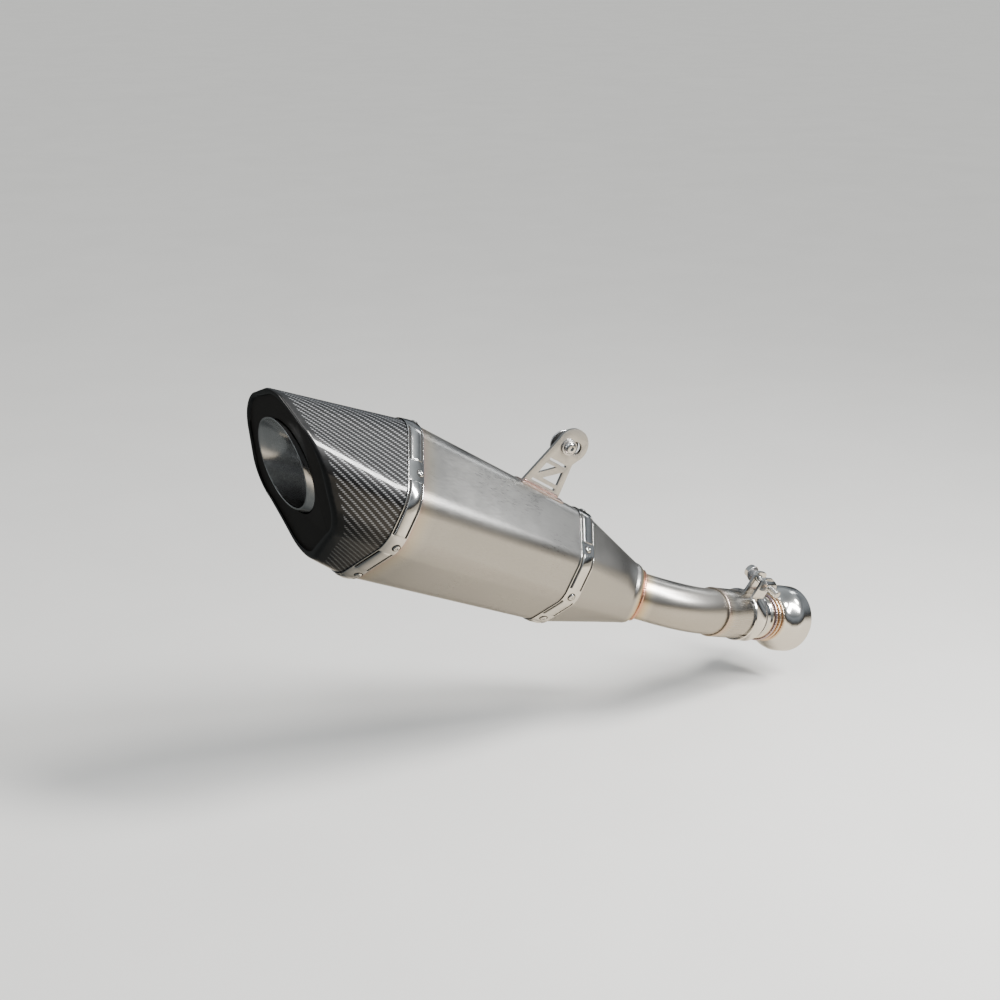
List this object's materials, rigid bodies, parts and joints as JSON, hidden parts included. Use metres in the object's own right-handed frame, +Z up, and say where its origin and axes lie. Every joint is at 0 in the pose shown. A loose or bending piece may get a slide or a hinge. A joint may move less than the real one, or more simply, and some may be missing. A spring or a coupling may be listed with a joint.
{
  "type": "racing exhaust system",
  "caption": "Slip-on motorcycle racing silencer with a tapered hexagonal sleeve, slash-cut carbon end cap, hanger plate, bent link pipe and clamped slip joint.",
  "frame": {"origin": "centre of the header stub's flared inlet mouth", "axes": "+X forward along the motorcycle, +Y to its left (inboard, along the hanger bolt), +Z up"},
  "size_m": [0.646, 0.1548, 0.4024],
  "materials": {
    "brushed_sleeve": "satin brushed",
    "brushed_cone": "satin brushed",
    "brushed_pipe": "satin brushed",
    "brushed_socket": "satin brushed",
    "inner_steel": "mill finish",
    "steel_wool": "matt wool",
    "fibre_packing": "matt fibre",
    "polished_strap": "polished",
    "rivet_steel": "polished",
    "carbon_twill": "gloss lacquer over woven carbon",
    "face_insert": "satin",
    "polished_outlet": "polished",
    "weld_bead": "heat tinted",
    "tinted_foot": "satin, heat tinted",
    "satin_plate": "satin",
    "zinc_steel": "bright satin",
    "bolt_steel": "bright",
    "bush_rubber": "matt",
    "polished_band": "polished",
    "graphite_seal": "matt graphite",
    "polished_stub": "polished, straw tinted",
    "tinted_rings": "heat tinted gold and purple"
  },
  "bodies": {
    "silencer": {"outer_sleeve": "brushed_sleeve", "inlet_cone": "brushed_cone", "front_baffle": "inner_steel", "rear_baffle": "inner_steel", "perforated_core": "inner_steel", "steel_wool_wrap": "steel_wool", "acoustic_packing": "fibre_packing", "rear_strap": "polished_strap", "front_strap": "polished_strap", "rear_strap_rivets": "rivet_steel", "front_strap_rivets": "rivet_steel", "end_cap_shell": "carbon_twill", "end_cap_face": "face_insert", "outlet_tube": "polished_outlet", "cone_weld": "weld_bead", "link_pipe": "brushed_pipe", "pipe_socket": "brushed_socket", "socket_weld": "weld_bead", "bracket_foot": "tinted_foot", "hanger_bracket": "satin_plate", "bracket_weld": "weld_bead"},
    "hanger_bush": {"bush_collar": "zinc_steel", "rubber_bush": "bush_rubber", "cup_washer": "zinc_steel"},
    "hanger_screw": {"hanger_bolt": "bolt_steel", "hanger_washer": "zinc_steel"},
    "clamp": {"clamp_band": "polished_band", "clamp_spacer": "zinc_steel"},
    "clamp_screw": {"clamp_bolt": "bolt_steel", "clamp_washer": "zinc_steel"},
    "clamp_nut": {"clamp_barrel_nut": "bolt_steel"},
    "seal": {"joint_seal": "graphite_seal"},
    "stub": {"header_stub": "polished_stub", "stub_rings": "tinted_rings"}
  },
  "joints": [
    {"name": "bush_in_slot", "type": "slide", "parent": "silencer", "child": "hanger_bush", "axis": [0.9612, 0, -0.2759], "range_m": [0, 0.008]},
    {"name": "hanger_bolt_turn", "type": "hinge", "parent": "hanger_bush", "child": "hanger_screw", "pos_m": [-0.3084, -0.03192, 0.26499], "axis": [0, 1, 0], "continuous": true},
    {"name": "clamp_turn", "type": "hinge", "parent": "silencer", "child": "clamp", "pos_m": [0, 0, 0], "axis": [0.8986, 0.2747, -0.342], "continuous": true},
    {"name": "clamp_bolt_turn", "type": "hinge", "parent": "clamp", "child": "clamp_screw", "pos_m": [-0.05993, -0.03513, 0.0716], "axis": [-0.1629, 0.9328, 0.3214], "range_deg": [-1440, 0]},
    {"name": "clamp_nut_travel", "type": "slide", "parent": "clamp", "child": "clamp_nut", "axis": [-0.1629, 0.9328, 0.3214], "range_m": [-0.005, 0]},
    {"name": "seal_turn", "type": "hinge", "parent": "silencer", "child": "seal", "pos_m": [0, 0, 0], "axis": [0.8986, 0.2747, -0.342], "continuous": true},
    {"name": "stub_slide", "type": "slide", "parent": "seal", "child": "stub", "axis": [0.8986, 0.2747, -0.342], "range_m": [0, 0.035]}
  ],
  "couplings": [
    {"joint": "clamp_bolt_turn", "follows": "clamp_nut_travel", "rad_per_m": 5026.5}
  ]
}
